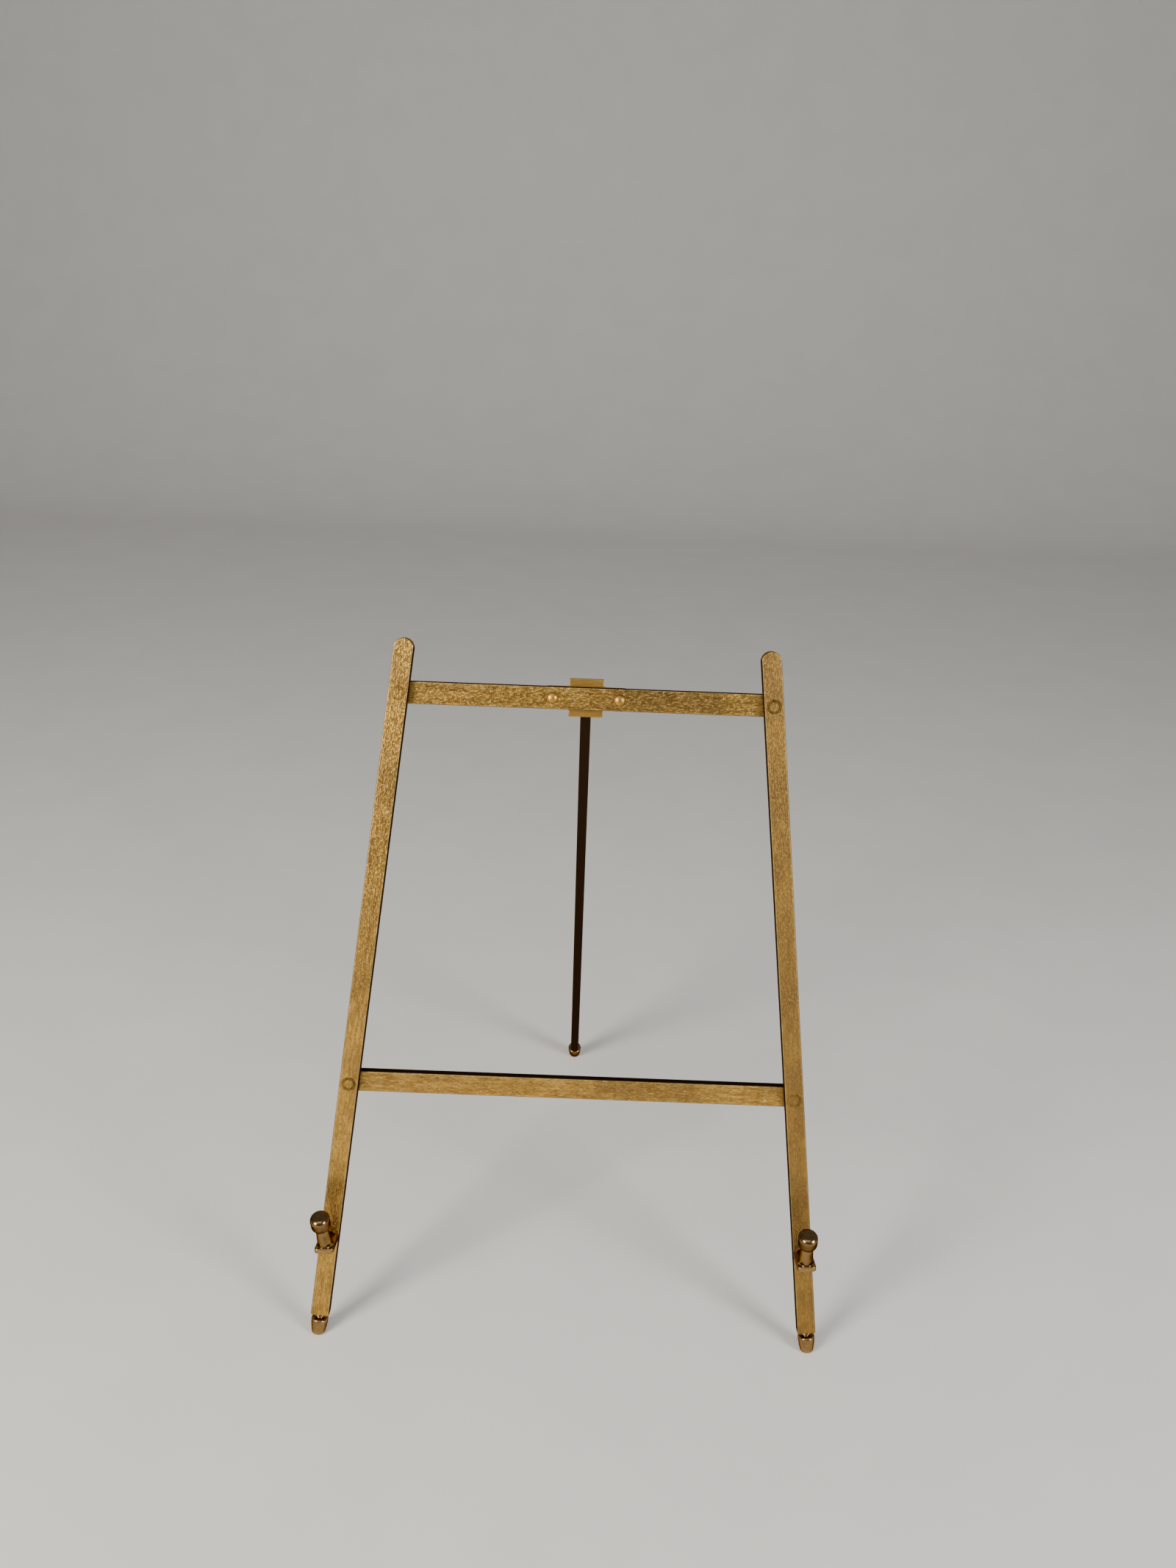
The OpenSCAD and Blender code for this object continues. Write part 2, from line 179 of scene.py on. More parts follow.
def plate(outline, low, high, edge, holes=(), lie=None):
    """A flat plate from one height to another, with its outline's and its holes' edges eased."""
    curve = bpy.data.curves.new("outline", "CURVE")
    curve.dimensions = "2D"
    curve.fill_mode = "BOTH"
    curve.extrude = (high - low) / 2 - edge
    curve.bevel_depth = edge
    curve.bevel_resolution = 3
    curve.offset = -edge
    for loop in [outline, *holes]:
        spline = curve.splines.new("POLY")
        spline.points.add(len(loop) - 1)
        for point, (x, y) in zip(spline.points, loop):
            point.co = (x, y, 0, 1)
        spline.use_cyclic_u = True
    drawn = bpy.data.objects.new("outline", curve)
    bpy.context.scene.collection.objects.link(drawn)
    bpy.context.view_layer.update()
    solid = drawn.evaluated_get(bpy.context.evaluated_depsgraph_get())
    mesh = bpy.data.meshes.new_from_object(solid)
    bpy.data.objects.remove(drawn)
    bpy.data.curves.remove(curve)
    if not mesh.polygons:
        raise RuntimeError("an outline gave an empty plate")
    mesh.transform(Matrix.Translation((0, 0, (low + high) / 2)))
    if lie is not None:
        mesh.transform(lie)
    return mesh


def turned(profile, lie=None, segments=64):
    """A turned solid: (radius, height) points swept round Z."""
    work = bmesh.new()
    rings = []
    for radius, height in profile:
        if radius < ON_AXIS:
            rings.append([work.verts.new((0, 0, height))])
            continue
        circle = ring(radius, steps=segments)
        rings.append([work.verts.new((x, y, height)) for x, y in circle])
    join_rings(work, rings, segments)
    return finished_mesh(work, lie)


def join_rings(work, rings, segments):
    """Faces between each ring of a swept solid and the next, and over its open ends."""
    for lower, upper in zip(rings, rings[1:]):
        for i in range(segments):
            j = (i + 1) % segments
            corners = [lower[i % len(lower)], lower[j % len(lower)]]
            corners += [upper[j % len(upper)], upper[i % len(upper)]]
            work.faces.new(list(dict.fromkeys(corners)))
    for end in (rings[0], rings[-1]):
        if len(end) > 1:
            work.faces.new(end)


def finished_mesh(work, lie=None):
    """The working mesh as a mesh datablock, with its faces turned outwards."""
    bmesh.ops.recalc_face_normals(work, faces=work.faces)
    mesh = bpy.data.meshes.new("shape")
    work.to_mesh(mesh)
    work.free()
    if lie is not None:
        mesh.transform(lie)
    return mesh


def dome_profile(radius, height, base, steps=10):
    """A domed head: (radius, height) points from its rim to its crown."""
    ball = (radius * radius + height * height) / (2 * height)
    widest = math.asin(min(1.0, radius / ball))
    angles = [widest * (1 - i / steps) for i in range(steps + 1)]
    return [(ball * math.sin(a), base + height - ball + ball * math.cos(a)) for a in angles]


def assemble(name, meshes, place, finish, body, slot, *nodes):
    """One piece from its meshes: put in place, given its finish, and set to ride on its body."""
    work = bmesh.new()
    for mesh in meshes:
        work.from_mesh(mesh)
        bpy.data.meshes.remove(mesh)
    bmesh.ops.remove_doubles(work, verts=work.verts, dist=WELD)
    bmesh.ops.scale(work, vec=(MM, MM, MM), verts=work.verts)
    mesh = bpy.data.meshes.new(name)
    work.to_mesh(mesh)
    work.free()
    mesh.materials.append(finish)
    mesh.shade_smooth()
    mesh.set_sharp_from_angle(angle=CREASE)
    piece = bpy.data.objects.new(name, mesh)
    bpy.context.scene.collection.objects.link(piece)
    piece.matrix_world = place
    even = piece.modifiers.new("even_normals", "WEIGHTED_NORMAL")
    even.keep_sharp = True
    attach(piece, body)
    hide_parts(*nodes)
    return piece


# ---- Finishes ----


class Wire:
    """One value in a finish. Python's own operators on it add the Math nodes."""

    def __init__(self, finish, socket):
        self.finish = finish
        self.socket = socket

    def _math(self, operation, *values):
        return self.finish.add("ShaderNodeMath", {"operation": operation}, dict(enumerate(values)))

    def __add__(self, other):
        return self._math("ADD", self, other)

    def __radd__(self, other):
        return self._math("ADD", other, self)

    def __sub__(self, other):
        return self._math("SUBTRACT", self, other)

    def __rsub__(self, other):
        return self._math("SUBTRACT", other, self)

    def __mul__(self, other):
        return self._math("MULTIPLY", self, other)

    def __rmul__(self, other):
        return self._math("MULTIPLY", other, self)

    def __abs__(self):
        return self._math("ABSOLUTE", self)

    def between(self, start, end):
        """0 below start, 1 above end, and smooth between them."""
        return self.finish.add(
            "ShaderNodeMapRange",
            {"interpolation_type": "SMOOTHSTEP"},
            {"Value": self, "From Min": start, "From Max": end},
        )


class Finish:
    """A metal's node tree, with one method that adds any node."""

    def __init__(self, name):
        self.material = bpy.data.materials.new(name)
        self.material.use_nodes = True
        self.tree = self.material.node_tree
        self.shader = self.tree.nodes["Principled BSDF"]
        self.own = self.add("ShaderNodeTexCoord", output="Object")

    def add(self, kind, settings=None, values=None, output=0):
        """A node of that kind: its settings first, then its sockets' values or links."""
        node = self.tree.nodes.new(kind)
        for key, value in (settings or {}).items():
            setattr(node, key, value)
        for key, value in (values or {}).items():
            self.feed(node.inputs[key], value)
        return Wire(self, node.outputs[output])

    def feed(self, socket, value):
        """A value or another node's output into a socket."""
        if isinstance(value, Wire):
            self.tree.links.new(value.socket, socket)
        else:
            socket.default_value = value

    def noise(self, per_mm, detail=3.0, roughness=0.5, turn=(0, 0, 0), shift=(0, 0, 0)):
        """Soft noise with its own count of waves per millimetre along X, Y and Z."""
        where = self.add(
            "ShaderNodeMapping",
            {"vector_type": "POINT"},
            {"Vector": self.own, "Rotation": turn, "Scale": [n / MM for n in per_mm], "Location": shift},
        )
        return self.add(
            "ShaderNodeTexNoise",
            {},
            {"Vector": where, "Scale": 1.0, "Detail": detail, "Roughness": roughness},
        )

    def blend(self, share, first, second):
        """One colour over another."""
        values = {0: share, 6: first, 7: second}
        return self.add("ShaderNodeMix", {"data_type": "RGBA"}, values, output=2)

    def along(self, axis):
        """The place along one of the piece's own axes, in millimetres."""
        parts = self.add("ShaderNodeSeparateXYZ", {}, {0: self.own}, output=axis)
        return parts * (1 / MM)

    def close(self, shade, roughness, height, lift, tint=BAR_RIM_DARK_REFLECTION, metallic=1.0):
        """Feeds the shader: colour, roughness, relief in millimetres, and the tint of its rims, which for the
        metals is a painted dark reflection.
        """
        relief = self.add(
            "ShaderNodeBump",
            {},
            {"Strength": 1.0, "Distance": lift * MM, "Height": height},
        )
        self.shader.inputs["Specular Tint"].default_value = tint
        self.shader.inputs["Metallic"].default_value = metallic
        self.feed(self.shader.inputs["Base Color"], shade)
        self.feed(self.shader.inputs["Roughness"], roughness)
        self.feed(self.shader.inputs["Normal"], relief)
        return self.material


def colour(values):
    """A property's three numbers as a colour socket wants them."""
    return (values[0], values[1], values[2], 1.0)


def stretched(axis, along, across):
    """Waves per millimetre: few along one axis, many across it."""
    return [along if i == axis else across for i in range(3)]


def brushed_brass(name, grain_axis, edge_axis, half_width, film=0.0):
    """Flat bar, linished along its length: dappled streaks, brown film and bright worn edges, with painted shade
    on its narrow sides and, when film is given, painted shade over the whole bar.
    """
    look = in_mm(bpy.context.scene.plate_stand_metal)
    metal = Finish(name)
    fine = metal.noise(stretched(grain_axis, 0.75, 4.2), 4.0, 0.66)
    broad = metal.noise(stretched(grain_axis, 0.20, 1.3), 3.0, 0.6, shift=(3, 5, 7))
    dapple = metal.noise(stretched(grain_axis, 0.85, 2.0), 4.0, 0.62, shift=(11, 2, 5))
    clouds = metal.noise(stretched(grain_axis, 0.06, 0.16), 4.0, 0.6, shift=(1, 9, 4))
    pits = metal.noise((2.6, 2.6, 2.6), 2.0, 0.5, shift=(6, 6, 1)).between(0.68, 0.78)
    scores = metal.noise(stretched(grain_axis, 0.35, 9.0), 1.0, 0.5, turn=(0.12, 0.12, 0.12))
    scores = scores.between(0.70, 0.78)
    edge = abs(metal.along(edge_axis)).between(half_width - 0.55, half_width - 0.1)
    # side marks the narrow sides. Their near-black colour below is painted shade, and their extra roughness is the
    # unpolished metal.
    side = abs(metal.along(edge_axis)).between(half_width - 0.30, half_width - 0.06)
    hollows = dapple.between(0.50, 0.66)
    # film is painted shade: it darkens the whole bar and dims its bright flecks, standing in for a leg that
    # catches less light. It also makes the bar rougher.
    tarnish = (clouds.between(0.42, 0.62) * 0.60 + hollows * 0.45 + film) * (1 - edge * 0.5)
    bright = metal.blend(broad.between(0.36, 0.66), colour(look.bar_gold), colour(look.bar_straw))
    aged = metal.blend(tarnish, bright, colour(look.tarnish))
    streaked = metal.blend(fine.between(0.50, 0.64) * 0.70, aged, colour(look.streak_brown))
    flecks = (1 - fine).between(0.54, 0.70) * (0.45 - 0.5 * film)
    flecked = metal.blend(flecks, streaked, colour(look.worn_gold))
    pitted = metal.blend(pits * 0.8, flecked, colour(look.shadow_brown))
    worn = metal.blend(edge * 0.25 + scores * 0.3, pitted, colour(look.worn_gold))
    # Painted shade on the narrow sides.
    shown = metal.blend(side, worn, colour(look.painted_side_shade))
    rough = 0.17 + fine * 0.16 + broad * 0.08 + hollows * 0.12 + pits * 0.15 + film * 0.2 + side * 0.30
    height = 1 - fine * 0.7 + broad * 0.3 - hollows * 0.5 - pits * 0.8 - scores * 0.5
    return metal.close(shown, rough, height, look.grain_depth)


def polished_brass(name, light, dark, ring_axis=2, painted_dark_top_from=None):
    """Turned metal: faint turning lines, smudges, fine scratches, and patina. From a given height up, a painted
    dark reflection darkens it more.
    """
    look = in_mm(bpy.context.scene.plate_stand_metal)
    metal = Finish(name)
    rings = metal.noise([6.0 if i == ring_axis else 0.12 for i in range(3)], 3.0, 0.6)
    smudge = metal.noise((0.32, 0.32, 0.32), 4.0, 0.6, shift=(2, 8, 3))
    patch = metal.noise((0.16, 0.16, 0.16), 4.0, 0.58, shift=(9, 1, 6))
    speck = metal.noise((3.2, 3.2, 3.2), 2.0, 0.5, shift=(4, 4, 8)).between(0.69, 0.79)
    scratch = metal.noise((0.25, 9.0, 9.0), 1.0, 0.5, turn=(0.3, 0.9, 0.5)).between(0.72, 0.80)
    cross = metal.noise((9.0, 0.25, 9.0), 1.0, 0.5, turn=(0.8, 0.2, 1.1)).between(0.73, 0.81)
    patina = patch.between(0.40, 0.66) * 0.55 + smudge.between(0.45, 0.75) * 0.30
    # Painted dark reflection: above that height along the piece's axis the colour goes darker and browner,
    # standing in for dark surroundings reflected in a post's head.
    if painted_dark_top_from is not None:
        patina = patina + metal.along(2).between(painted_dark_top_from - 1.0, painted_dark_top_from + 1.5) * 0.45
    base = metal.blend(patina, colour(light), colour(dark))
    lined = metal.blend(rings.between(0.50, 0.80) * 0.35, base, colour(look.shadow_brown))
    marked = metal.blend((scratch + cross) * 0.3, lined, colour(look.worn_gold))
    shown = metal.blend(speck * 0.65, marked, colour(look.shadow_brown))
    rough = look.polish + smudge * 0.06 + patina * 0.06 + rings * 0.04 + (scratch + cross) * 0.12
    height = rings * 0.35 + smudge * 0.35 - speck * 0.6 - (scratch + cross) * 0.5
    # The polished rims take the darker tint: a painted dark reflection.
    return metal.close(shown, rough, height, look.polish_depth, POLISHED_RIM_DARK_REFLECTION)


def satin_brass(name):
    """Sheet brass, hand rubbed in small arcs, with darker metal where fingers don't reach."""
    look = in_mm(bpy.context.scene.plate_stand_metal)
    metal = Finish(name)
    rub = metal.noise((0.4, 5.0, 5.0), 4.0, 0.6, turn=(0.2, 0.3, 0.7))
    counter = metal.noise((5.0, 0.4, 5.0), 4.0, 0.6, turn=(0.5, 0.1, 0.4), shift=(3, 3, 3))
    clouds = metal.noise((0.14, 0.14, 0.14), 4.0, 0.6, shift=(5, 0, 2))
    pits = metal.noise((2.4, 2.4, 2.4), 2.0, 0.5).between(0.68, 0.80)
    tarnish = clouds.between(0.40, 0.68) * 0.7
    base = metal.blend(tarnish, colour(look.bar_gold), colour(look.tarnish))
    rubbed = metal.blend(rub.between(0.5, 0.8) * 0.35, base, colour(look.worn_gold))
    shown = metal.blend(pits * 0.6, rubbed, colour(look.shadow_brown))
    rough = 0.30 + rub * 0.10 + counter * 0.08 + tarnish * 0.12
    height = rub * 0.4 + counter * 0.3 + clouds * 0.3 - pits * 0.6
    return metal.close(shown, rough, height, look.grain_depth)


def rivet_brass(name):
    """Hammered and filed metal: soft facets, bright crowns and dark hollows."""
    look = in_mm(bpy.context.scene.plate_stand_metal)
    metal = Finish(name)
    facets = metal.add(
        "ShaderNodeTexVoronoi",
        {"feature": "SMOOTH_F1"},
        {"Vector": metal.own, "Scale": 0.75 / MM, "Smoothness": 0.6},
    )
    file_marks = metal.noise((0.5, 6.0, 6.0), 3.0, 0.6, turn=(0.4, 0.2, 0.6))
    clouds = metal.noise((0.30, 0.30, 0.30), 4.0, 0.6)
    worn = facets.between(0.15, 0.60)
    base = metal.blend(clouds.between(0.36, 0.64), colour(look.bar_straw), colour(look.bar_gold))
    shown = metal.blend(worn * 0.6, base, colour(look.tarnish))
    rough = 0.24 + file_marks * 0.12 + worn * 0.12
    height = 0.9 - facets * 0.8 + file_marks * 0.2
    return metal.close(shown, rough, height, look.hammer_depth)


def pale_stage(name, shade):
    """A pale matt surface with the faintest unevenness."""
    surface = Finish(name)
    paper = surface.noise((0.02, 0.02, 0.02), 4.0, 0.55)
    fibre = surface.noise((0.9, 0.9, 0.9), 3.0, 0.6)
    darker = colour([part * 0.975 for part in shade])
    tone = surface.blend(paper.between(0.35, 0.65), colour(shade), darker)
    material = surface.close(tone, 0.82 + fibre * 0.08, fibre, 0.02, NO_TINT, 0.0)
    surface.shader.inputs["Specular IOR Level"].default_value = 0.2
    return material


# ---- Sizes and colours that a user may change ----


def size(name, description, default, low, high):
    """A length, given here in millimetres."""
    return FloatProperty(
        name=name,
        description=description,
        default=default * MM,
        min=low * MM,
        max=high * MM,
        precision=5,
        unit="LENGTH",
    )


def angle(name, description, default):
    """An angle, given here in degrees."""
    return FloatProperty(name=name, description=description, default=math.radians(default), subtype="ANGLE")


def fraction(name, description, default):
    """A part of a whole, from none to all of it."""
    return FloatProperty(
        name=name,
        description=description,
        default=default,
        min=0.0,
        max=1.0,
        subtype="FACTOR",
    )


def power(name, description, default):
    """A light's power in watts."""
    return FloatProperty(name=name, description=description, default=default, min=0.0, unit="POWER")


def tint(name, description, default):
    """A metal's or surface's colour."""
    return FloatVectorProperty(
        name=name,
        description=description,
        default=default,
        size=3,
        min=0.0,
        max=1.0,
        subtype="COLOR",
    )


def in_mm(group):
    """A group's values, with its lengths in millimetres."""
    values = {}
    for name, setting in group.bl_rna.properties.items():
        if name in ("rna_type", "name"):
            continue
        value = getattr(group, name)
        values[name] = value / MM if setting.unit == "LENGTH" else value
    return SimpleNamespace(**values)


class PLATESTAND_PG_shape(bpy.types.PropertyGroup):
    """Edges and small forms that the frame leaves plain."""

    bar_edge: size("Bar edge", "Radius that the bars' long edges are eased to", 0.28, 0.05, 1.0)
    bar_corner: size("Bar corner", "Radius of the corners at a bar's square end", 0.5, 0.1, 2.0)
    heel_rise: size("Heel", "How far the rear leg's heel stands over the pin", 6.4, 3.0, 10.0)
    sheet_edge: size("Sheet edge", "Radius that the bracket's edges are eased to", 0.2, 0.05, 0.6)
    bracket_sheet: size("Bracket sheet", "Thickness of the bracket's plate and ears", 1.6, 0.8, 3.0)
    bracket_shoulder: size("Bracket shoulder", "Plate left on each side of the ears", 1.5, 0.5, 4.0)
    bracket_fillet: size("Bracket fillet", "Hollow corner between the plate and its wings", 0.8, 0.2, 2.0)
    bracket_rivet_head: size("Bracket rivet head", "Radius of the bracket rivets' heads", 1.9, 1.0, 3.0)
    bracket_rivet: size("Bracket rivet", "Radius of the bracket rivets' shanks", 1.1, 0.5, 2.0)
    pin_radius: size("Pin", "Radius of the hinge pin", 1.3, 0.5, 3.0)
    pin_ease: size("Pin ease", "How far the rims of the pin's heads are eased", 0.06, 0.02, 0.3)
    pin_play: size("Pin play", "Gap round the pin in its holes", 0.05, 0.0, 0.3)
    washer_sheet: size("Washer", "Thickness of a hinge washer", 0.5, 0.2, 1.5)
    arm_edge: size("Arm edge", "Radius that a hook arm's edges are eased to", 0.3, 0.05, 0.7)
    arm_corner: size("Arm corner", "Radius of a hook arm's front corners in plan", 1.2, 0.2, 2.5)
    arm_gap: size("Arm gap", "Gap between an arm's back and the leg", 0.06, 0.0, 0.5)
    collar_radius: size("Collar", "Radius of the collar where an arm bears on its leg", 2.2, 1.4, 3.0)
    collar_depth: size("Collar depth", "How far the collar is let into the leg", 0.8, 0.2, 2.0)
    shank_radius: size("Shank", "Radius of the shank that a hook turns on", 1.3, 0.6, 2.0)
    post_lean: angle("Post lean", "How far a post leans away from the plate", 25.0)
    post_radius: size("Post radius", "Radius of a hook's round post, under its head", 2.0, 1.0, 4.0)
    post_low_radius: size("Post foot", "Radius of the post just above its flared base", 2.4, 1.0, 4.0)
    flare_out: size("Flare", "How far the post's base stands out round it", 0.3, 0.0, 2.0)
    flare_height: size("Flare height", "Height of the post's flared base", 1.3, 0.4, 3.0)
    head_half: size("Head half height", "Half the height of a post's head", 3.0, 1.0, 5.0)
    head_edge: size("Head edge", "Radius that the head's edges are rounded to", 1.9, 0.5, 3.0)
    head_crown: size("Head crown", "How far the top of the head is crowned", 0.06, 0.0, 0.5)
    neck_fillet: size("Neck fillet", "Hollow between a post and its head", 0.35, 0.1, 1.2)
    foot_neck: size("Foot neck", "Radius of the thin neck above a foot", 1.2, 0.5, 2.0)
    foot_neck_height: size("Foot neck height", "How far a foot hangs under its leg", 1.2, 0.5, 3.0)
    foot_bead: size("Foot bead", "How far the bead over the neck stands out", 0.62, 0.2, 1.2)
    foot_shoulder: size("Foot shoulder", "Radius round a foot's top edge", 0.6, 0.1, 1.5)
    foot_taper: size("Foot taper", "How much less a foot's radius is at its bottom", 0.5, 0.0, 1.5)
    foot_edge: size("Foot edge", "Radius round a foot's bottom edge", 1.1, 0.2, 1.6)
    foot_belly: size("Foot belly", "How far a foot's side swells between its ends", 0.10, 0.0, 0.5)
    rivet_gap: size("Rivet line", "Depth of the fine line round a flush rivet head", 0.08, 0.02, 0.3)
    rivet_shank: fraction("Rivet shank", "Radius of a frame rivet's shank, out of its head's", 0.56)
    turns: IntProperty(name="Turns", description="Faces round a turned piece", default=72, min=24, max=128)


class PLATESTAND_PG_metal(bpy.types.PropertyGroup):
    """Colours of the brass, and how deep its marks are."""

    bar_gold: tint("Bar gold", "Clean linished brass", (0.43, 0.235, 0.050))
    bar_straw: tint("Bar straw", "Paler streaks in the linished brass", (0.68, 0.40, 0.090))
    worn_gold: tint("Worn gold", "Brass where hands keep it bright", (0.98, 0.72, 0.30))
    tarnish: tint("Tarnish", "Brown film over the brass", (0.27, 0.155, 0.045))
    shadow_brown: tint("Shadow brown", "Dirt in pits and between streaks", (0.10, 0.050, 0.016))
    streak_brown: tint("Streak brown", "The darker streaks of the linished grain", (0.15, 0.08, 0.024))
    # Painted shade: a near-black colour for the bars' narrow sides, standing in for the shade on them.
    painted_side_shade: tint("Side brown", "Film on the bars' unpolished narrow sides", (0.030, 0.017, 0.008))
    hook_gold: tint("Hook gold", "Polished brass of the hooks", (0.36, 0.225, 0.088))
    hook_brown: tint("Hook brown", "Brown patina on the hooks", (0.080, 0.042, 0.022))
    foot_gold: tint("Foot gold", "Polished brass of the feet", (0.40, 0.250, 0.100))
    foot_brown: tint("Foot brown", "Brown patina on the feet", (0.13, 0.070, 0.028))
    # Painted shade: darkens the whole right leg, standing in for the weaker light that its face catches.
    right_painted_shade: fraction("Right film", "Extra brown film on the right leg", 0.65)
    polish: fraction("Polish", "Roughness of polished brass", 0.09)
    grain_depth: size("Grain depth", "Depth of the linished grain", 0.055, 0.0, 0.1)
    polish_depth: size("Polish depth", "Depth of marks in the polished metal", 0.006, 0.0, 0.05)
    hammer_depth: size("Hammer depth", "Depth of the facets on the rivets", 0.05, 0.0, 0.2)


class PLATESTAND_PG_stage(bpy.types.PropertyGroup):
    """Floor, light and camera."""

    floor_shade: tint("Floor", "Colour of the pale floor and backdrop", (0.70, 0.68, 0.64))
    floor_half: FloatProperty(
        name="Floor half width",
        description="Half the floor's width",
        default=1.6,
        unit="LENGTH",
    )
    camera_place: FloatVectorProperty(
        name="Camera place",
        description="Where the camera stands",
        default=(0.0016, -0.3636, 0.3449),
        subtype="XYZ",
        unit="LENGTH",
    )
    camera_pitch: angle("Camera pitch", "How far the camera looks down", 25.0)
    camera_roll: angle("Camera roll", "How far the camera is tipped", 2.15)
    lens: FloatProperty(
        name="Lens",
        description="Focal length in millimetres",
        default=27.05,
        min=10,
        max=200,
        unit="CAMERA",
    )
    left_power: power("Left light", "Power of the left soft light", 11.0)
    right_power: power("Right light", "Power of the right soft light", 7.0)
    top_power: power("Top light", "Power of the overhead fill", 4.0)
    air: tint("Air", "Colour of the light that comes from all round", (0.25, 0.25, 0.255))


# ---- Pieces ----


class PLATESTAND_OT_legs(bpy.types.Operator):
    """Front legs: flat bars with round tops, linished along their length"""

    bl_idname = "plate_stand.legs"
    bl_label = "Front legs"

    def execute(self, context):
        shape = in_mm(context.scene.plate_stand_shape)
        # The right leg gets extra painted shade, so it is darker than the left, standing in for its weaker light.
        painted_shades = {"left": 0.0, "right": context.scene.plate_stand_metal.right_painted_shade}
        for side in SIDES:
            place = leg_place(side)
            low, high = extent(f"{side}_leg", place)
            width = high.x - low.x
            finish = brushed_brass(f"{side}_leg_brass", 2, 0, width / 2, painted_shades[side])
            outline = bar_outline(width, low.z, high.z, shape.bar_corner)
            body = plate(outline, -high.y, -low.y, shape.bar_edge, lie=FLAT_XZ)
            assemble(f"{side}_leg_bar", [body], place, finish, "front_frame", "brushed_bar", f"{side}_leg")
        return {"FINISHED"}


class PLATESTAND_OT_crossbars(bpy.types.Operator):
    """Cross-bars: flat bars with half-round ends, let into the backs of the legs"""

    bl_idname = "plate_stand.crossbars"
    bl_label = "Cross-bars"

    def execute(self, context):
        shape = in_mm(context.scene.plate_stand_shape)
        place = panel_place()
        for level in ("upper", "lower"):
            low, high = extent(f"{level}_crossbar", place)
            height = high.z - low.z
            middle = (low.z + high.z) / 2
            bar_place = place @ Matrix.Translation((0, 0, middle * MM))
            finish = brushed_brass(f"{level}_crossbar_brass", 0, 2, height / 2)
            body = plate(cross_outline(high.x, height), -high.y, -low.y, shape.bar_edge, lie=FLAT_XZ)
            name = f"{level}_crossbar_bar"
            assemble(name, [body], bar_place, finish, "front_frame", "brushed_bar", f"{level}_crossbar")
        return {"FINISHED"}


class PLATESTAND_OT_frame_rivets(bpy.types.Operator):
    """Frame rivets: flush in the legs' faces, domed on the backs of the cross-bars"""

    bl_idname = "plate_stand.frame_rivets"
    bl_label = "Frame rivets"

    def execute(self, context):
        shape = in_mm(context.scene.plate_stand_shape)
        finish = rivet_brass("rivet_brass")
        place = panel_place()
        for side in SIDES:
            for level in ("upper", "lower"):
                self.rivet(f"{side}_{level}_rivet", f"{level}_crossbar", place, shape, finish)
        return {"FINISHED"}

    def rivet(self, node, crossbar, place, shape, finish):
        """One rivet: a flush head with a fine line round it, a shank and a domed end."""
        low, high = extent(node, place)
        radius = (high.x - low.x) / 2
        shank_r, gap = radius * shape.rivet_shank, shape.rivet_gap
        front, back = low.y, extent(crossbar, place)[1].y
        profile = [(0, front + gap / 2), (shank_r, front), (radius - 2 * gap, front)]
        profile += [(radius - gap, front + gap), (shank_r, front + radius - shank_r)]
        profile += [(shank_r, back), (radius - gap, back), (radius, back + gap)]
        profile += dome_profile(radius, high.y - back - gap, back + gap)[1:]
        middle = (low + high) / 2
        here = place @ Matrix.Translation((middle.x * MM, 0, middle.z * MM))
        head = turned(profile, ALONG_Y, shape.turns)
        assemble(f"{node}_set", [head], here, finish, "front_frame", "rivet_brass", node)


def foot_profile(foot, leg_end, shape):
    """(radius, height) points of a foot: tenon, bead, thin neck, shoulder, barrel and bottom."""
    low, high = foot
    top_r = (high.x - low.x) / 2
    low_r = top_r - shape.foot_taper
    neck_r, shoulder, edge = shape.foot_neck, shape.foot_shoulder, shape.foot_edge
    tenon_step, tenon_length = 0.2, 2.0
    bead_r = 0.2
    neck_hollow = 0.2
    tenon_r, tenon_top = neck_r - tenon_step, leg_end + tenon_length
    bead_middle = neck_r + shape.foot_bead - bead_r
    barrel_top = leg_end - shape.foot_neck_height
    profile = [(0, tenon_top), (tenon_r, tenon_top), (tenon_r, leg_end)]
    profile += arc((bead_middle, leg_end - bead_r), bead_r, 90, -90, 8)
    profile += [(neck_r, leg_end - 2 * bead_r)]
    profile += arc((neck_r + neck_hollow, barrel_top + neck_hollow), neck_hollow, 180, 270, 4)
    profile += arc((top_r - shoulder, barrel_top - shoulder), shoulder, 90, 0, 8)
    start, end = barrel_top - shoulder, low.z + edge
    steps = 12
    for i in range(1, steps + 1):
        down = i / steps
        radius = top_r + (low_r - top_r) * down + shape.foot_belly * math.sin(math.pi * down)
        profile.append((min(radius, top_r), start + (end - start) * down))
    return profile + arc((low_r - edge, end), edge, 0, -90, 10)[1:] + [(0, low.z)]


def foot_shape(place, foot, leg_end, shape):
    """A turned foot, worn flat where it stands on the floor."""
    mesh = turned(foot_profile(foot, leg_end, shape), segments=shape.turns)
    upright = (place.to_3x3().inverted() @ Vector((0, 0, 1))).normalized()
    floor = -(place.translation.z / MM)
    for vertex in mesh.vertices:
        under = floor - vertex.co.dot(upright)
        if under > 0:
            vertex.co += upright * under
    return mesh


